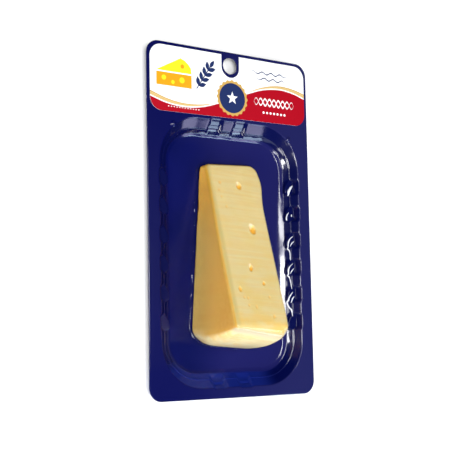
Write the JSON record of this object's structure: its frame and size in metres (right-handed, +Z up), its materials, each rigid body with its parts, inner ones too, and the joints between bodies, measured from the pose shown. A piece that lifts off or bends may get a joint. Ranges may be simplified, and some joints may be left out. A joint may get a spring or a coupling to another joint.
{
  "type": "packed cheese wedge",
  "caption": "Wedge of firm yellow cheese lying in a shallow navy thermoformed tray with a hang hole, under a clear skin film, with a printed header label.",
  "frame": {"origin": "middle of the pack's outline, level with the flat underside of the tray's well that it lies on", "axes": "+X to the pack's right as seen from its face, +Y towards the header with the hang hole, +Z up, out of the pack's face"},
  "size_m": [0.13, 0.233, 0.0532],
  "materials": {
    "navy_sheet": "high gloss",
    "cheese_paste": "moist cut cheese under clear film",
    "label_print": "printed, satin",
    "clear_film": "clear, glossy"
  },
  "bodies": {
    "root": {"tray": "navy_sheet", "cheese": "cheese_paste", "label": "label_print", "film": "clear_film"}
  },
  "joints": []
}
